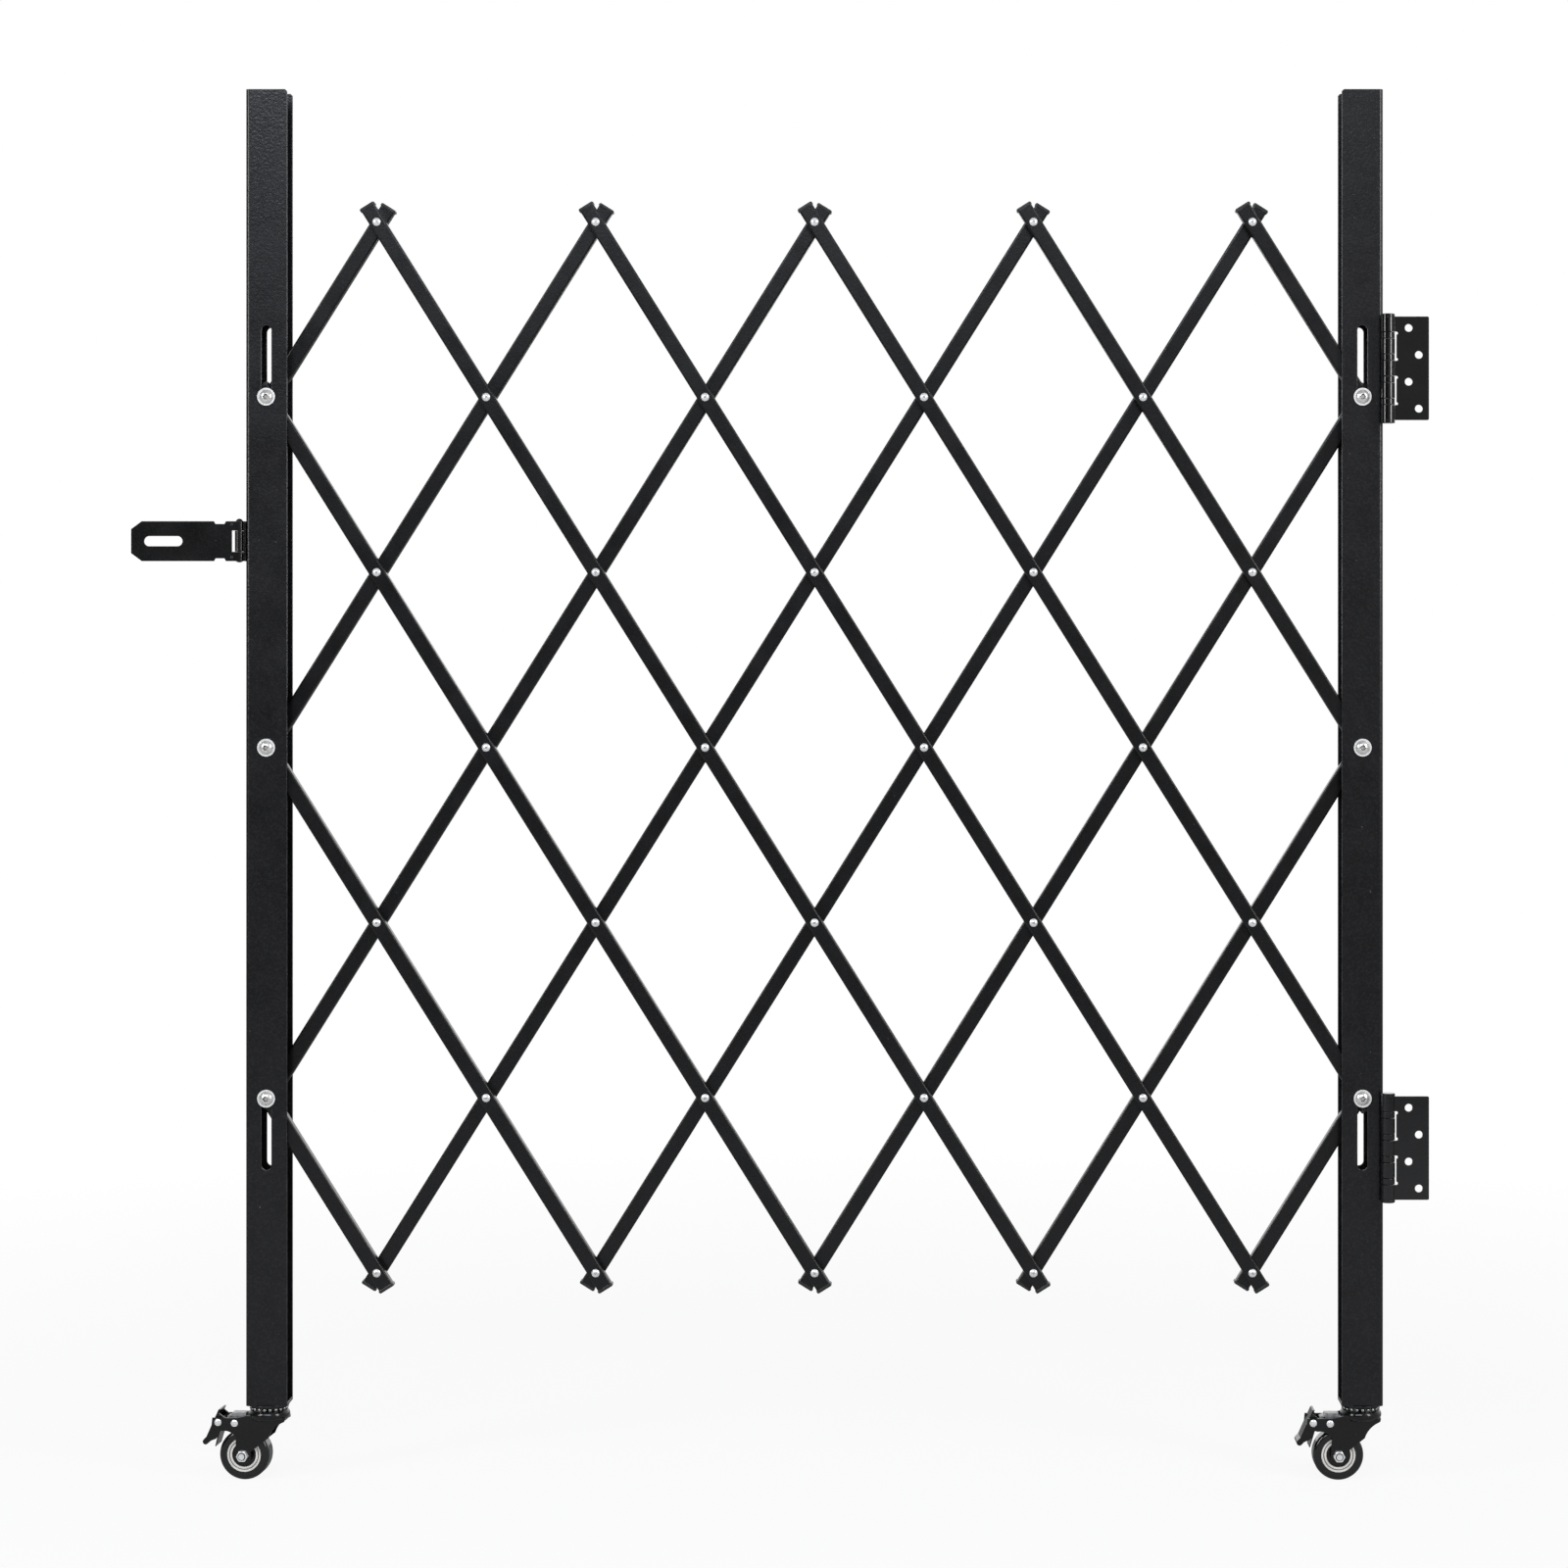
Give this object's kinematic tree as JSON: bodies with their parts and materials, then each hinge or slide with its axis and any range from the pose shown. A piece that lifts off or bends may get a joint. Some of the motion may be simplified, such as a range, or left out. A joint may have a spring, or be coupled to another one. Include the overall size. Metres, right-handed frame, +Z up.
{
  "type": "expandable security gate",
  "caption": "Black steel scissor gate: a folding riveted lattice between channel posts on swivel casters, hinged to a wall on one side, with a locking hasp on the other.",
  "frame": {"origin": "on the floor, in the middle of the whole width and depth", "axes": "+Z up, +X along the gate from the lock post to the hinge post, -Y the front"},
  "size_m": [1.2806, 0.0587, 1.3762],
  "materials": {
    "post_paint": "black powder coat with a fine orange peel",
    "bar_paint": "black powder coat, black plastic end plugs",
    "hinge_paint": "semi-gloss black coat",
    "bearing_ring": "semi-gloss black coat",
    "hasp_paint": "black coat, worn at the edges",
    "caster_paint": "gloss black coat",
    "rivet_steel": "bright zinc plate",
    "bolt_steel": "bright zinc plate",
    "caster_steel": "bright zinc plate",
    "catch_zinc": "dull zinc plate",
    "wheel_core": "pale grooved ring on a black core",
    "tyre_rubber": "gloss black tread"
  },
  "bodies": {
    "wall_leaves": {"upper_wall_leaf": "hinge_paint", "lower_wall_leaf": "hinge_paint"},
    "right_post": {"right_post": "post_paint", "right_foot_plate": "post_paint", "right_middle_bolt": "bolt_steel", "upper_post_leaf": "hinge_paint", "lower_post_leaf": "hinge_paint", "hinge_pins": "hinge_paint", "hinge_bearing_rings": "bearing_ring", "right_caster_mount": "caster_paint"},
    "left_post": {"left_post": "post_paint", "left_foot_plate": "post_paint", "left_middle_bolt": "bolt_steel", "left_caster_mount": "caster_paint", "hasp_base": "hasp_paint", "hasp_pin": "hasp_paint", "hasp_rivets": "rivet_steel"},
    "hasp_strap": {"hasp_strap": "hasp_paint"},
    "front_bar_1": {"front_bar_1": "bar_paint", "front_bar_1_rivets": "rivet_steel", "left_lower_slide_bolt": "bolt_steel"},
    "back_bar_1": {"back_bar_1": "bar_paint"},
    "front_bar_2": {"front_bar_2": "bar_paint", "front_bar_2_rivets": "rivet_steel"},
    "back_bar_2": {"back_bar_2": "bar_paint"},
    "front_bar_3": {"front_bar_3": "bar_paint", "front_bar_3_rivets": "rivet_steel", "left_upper_slide_bolt": "bolt_steel"},
    "back_bar_3": {"back_bar_3": "bar_paint"},
    "front_bar_4": {"front_bar_4": "bar_paint", "front_bar_4_rivets": "rivet_steel"},
    "back_bar_4": {"back_bar_4": "bar_paint"},
    "front_bar_5": {"front_bar_5": "bar_paint", "front_bar_5_rivets": "rivet_steel"},
    "back_bar_5": {"back_bar_5": "bar_paint"},
    "front_bar_6": {"front_bar_6": "bar_paint", "front_bar_6_rivets": "rivet_steel", "right_lower_slide_bolt": "bolt_steel"},
    "back_bar_6": {"back_bar_6": "bar_paint"},
    "front_bar_7": {"front_bar_7": "bar_paint", "front_bar_7_rivets": "rivet_steel"},
    "back_bar_7": {"back_bar_7": "bar_paint"},
    "front_bar_8": {"front_bar_8": "bar_paint", "front_bar_8_rivets": "rivet_steel", "right_upper_slide_bolt": "bolt_steel"},
    "back_bar_8": {"back_bar_8": "bar_paint"},
    "left_caster": {"left_caster_balls": "caster_steel", "left_caster_fork": "caster_paint", "left_caster_fasteners": "caster_steel", "left_brake_catch": "catch_zinc"},
    "left_wheel": {"left_caster_hub": "wheel_core", "left_caster_tyre": "tyre_rubber"},
    "left_brake": {"left_brake_pedal": "caster_paint"},
    "right_caster": {"right_caster_balls": "caster_steel", "right_caster_fork": "caster_paint", "right_caster_fasteners": "caster_steel", "right_brake_catch": "catch_zinc"},
    "right_wheel": {"right_caster_hub": "wheel_core", "right_caster_tyre": "tyre_rubber"},
    "right_brake": {"right_brake_pedal": "caster_paint"}
  },
  "joints": [
    {"name": "gate_swing", "type": "hinge", "parent": "wall_leaves", "child": "right_post", "pos_m": [0.60025, -0.024, 0.72562], "axis": [0, 0, 1], "range_deg": [-88, 150]},
    {"name": "lattice_fold", "type": "hinge", "parent": "right_post", "child": "front_bar_7", "pos_m": [0.57625, 0, 0.72562], "axis": [0, 1, 0], "range_deg": [0, 27.5]},
    {"name": "back_bar_7_pivot", "type": "hinge", "parent": "right_post", "child": "back_bar_7", "pos_m": [0.57625, 0, 0.72562], "axis": [0, 1, 0], "range_deg": [-27.5, 0]},
    {"name": "back_bar_6_pivot", "type": "hinge", "parent": "front_bar_7", "child": "back_bar_6", "pos_m": [0.46795, 0, 0.89894], "axis": [0, 1, 0], "range_deg": [-55, 0]},
    {"name": "back_bar_5_pivot", "type": "hinge", "parent": "front_bar_7", "child": "back_bar_5", "pos_m": [0.35965, 0, 1.07225], "axis": [0, 1, 0], "range_deg": [-55, 0]},
    {"name": "back_bar_4_pivot", "type": "hinge", "parent": "front_bar_7", "child": "back_bar_4", "pos_m": [0.25135, 0, 1.24557], "axis": [0, 1, 0], "range_deg": [-55, 0]},
    {"name": "front_bar_6_pivot", "type": "hinge", "parent": "back_bar_7", "child": "front_bar_6", "pos_m": [0.46795, 0, 0.55231], "axis": [0, 1, 0], "range_deg": [0, 55]},
    {"name": "front_bar_5_pivot", "type": "hinge", "parent": "back_bar_7", "child": "front_bar_5", "pos_m": [0.35965, 0, 0.37899], "axis": [0, 1, 0], "range_deg": [0, 55]},
    {"name": "front_bar_4_pivot", "type": "hinge", "parent": "back_bar_7", "child": "front_bar_4", "pos_m": [0.25135, 0, 0.20567], "axis": [0, 1, 0], "range_deg": [0, 55]},
    {"name": "front_bar_8_pivot", "type": "hinge", "parent": "back_bar_6", "child": "front_bar_8", "pos_m": [0.57625, 0, 1.07225], "axis": [0, 1, 0], "range_deg": [0, 55]},
    {"name": "back_bar_8_pivot", "type": "hinge", "parent": "front_bar_6", "child": "back_bar_8", "pos_m": [0.57625, 0, 0.37899], "axis": [0, 1, 0], "range_deg": [-55, 0]},
    {"name": "back_bar_3_pivot", "type": "hinge", "parent": "front_bar_4", "child": "back_bar_3", "pos_m": [-0.18185, 0, 0.89894], "axis": [0, 1, 0], "range_deg": [-55, 0]},
    {"name": "back_bar_2_pivot", "type": "hinge", "parent": "front_bar_4", "child": "back_bar_2", "pos_m": [-0.29015, 0, 1.07225], "axis": [0, 1, 0], "range_deg": [-55, 0]},
    {"name": "back_bar_1_pivot", "type": "hinge", "parent": "front_bar_4", "child": "back_bar_1", "pos_m": [-0.39845, 0, 1.24557], "axis": [0, 1, 0], "range_deg": [-55, 0]},
    {"name": "front_bar_3_pivot", "type": "hinge", "parent": "back_bar_4", "child": "front_bar_3", "pos_m": [-0.18185, 0, 0.55231], "axis": [0, 1, 0], "range_deg": [0, 55]},
    {"name": "front_bar_2_pivot", "type": "hinge", "parent": "back_bar_4", "child": "front_bar_2", "pos_m": [-0.29015, 0, 0.37899], "axis": [0, 1, 0], "range_deg": [0, 55]},
    {"name": "front_bar_1_pivot", "type": "hinge", "parent": "back_bar_4", "child": "front_bar_1", "pos_m": [-0.39845, 0, 0.20567], "axis": [0, 1, 0], "range_deg": [0, 55]},
    {"name": "left_post_pivot", "type": "hinge", "parent": "front_bar_2", "child": "left_post", "pos_m": [-0.50675, 0, 0.72562], "axis": [0, 1, 0], "range_deg": [-27.5, 0]},
    {"name": "hasp_swing", "type": "hinge", "parent": "left_post", "child": "hasp_strap", "pos_m": [-0.53405, -0.0125, 0.92962], "axis": [0, 0, 1], "range_deg": [-85, 90]},
    {"name": "left_caster_swivel", "type": "hinge", "parent": "left_post", "child": "left_caster", "pos_m": [-0.50675, 0, 0.069], "axis": [0, 0, 1], "continuous": true},
    {"name": "left_wheel_spin", "type": "hinge", "parent": "left_caster", "child": "left_wheel", "pos_m": [-0.52966, 0.002, 0.025], "axis": [0.0872, 0.9962, 0], "continuous": true},
    {"name": "left_brake_press", "type": "hinge", "parent": "left_caster", "child": "left_brake", "pos_m": [-0.55487, 0.00421, 0.0574], "axis": [-0.0872, -0.9962, 0], "range_deg": [0, 10]},
    {"name": "right_caster_swivel", "type": "hinge", "parent": "right_post", "child": "right_caster", "pos_m": [0.57625, 0, 0.069], "axis": [0, 0, 1], "continuous": true},
    {"name": "right_wheel_spin", "type": "hinge", "parent": "right_caster", "child": "right_wheel", "pos_m": [0.55325, 0, 0.025], "axis": [0, 1, 0], "continuous": true},
    {"name": "right_brake_press", "type": "hinge", "parent": "right_caster", "child": "right_brake", "pos_m": [0.52795, 0, 0.0574], "axis": [0, -1, 0], "range_deg": [0, 10]}
  ],
  "couplings": [
    {"joint": "back_bar_7_pivot", "follows": "lattice_fold", "ratio": -1},
    {"joint": "back_bar_6_pivot", "follows": "lattice_fold", "ratio": -2},
    {"joint": "back_bar_5_pivot", "follows": "lattice_fold", "ratio": -2},
    {"joint": "back_bar_4_pivot", "follows": "lattice_fold", "ratio": -2},
    {"joint": "front_bar_6_pivot", "follows": "lattice_fold", "ratio": 2},
    {"joint": "front_bar_5_pivot", "follows": "lattice_fold", "ratio": 2},
    {"joint": "front_bar_4_pivot", "follows": "lattice_fold", "ratio": 2},
    {"joint": "front_bar_8_pivot", "follows": "lattice_fold", "ratio": 2},
    {"joint": "back_bar_8_pivot", "follows": "lattice_fold", "ratio": -2},
    {"joint": "back_bar_3_pivot", "follows": "lattice_fold", "ratio": -2},
    {"joint": "back_bar_2_pivot", "follows": "lattice_fold", "ratio": -2},
    {"joint": "back_bar_1_pivot", "follows": "lattice_fold", "ratio": -2},
    {"joint": "front_bar_3_pivot", "follows": "lattice_fold", "ratio": 2},
    {"joint": "front_bar_2_pivot", "follows": "lattice_fold", "ratio": 2},
    {"joint": "front_bar_1_pivot", "follows": "lattice_fold", "ratio": 2},
    {"joint": "left_post_pivot", "follows": "lattice_fold", "ratio": -1}
  ]
}
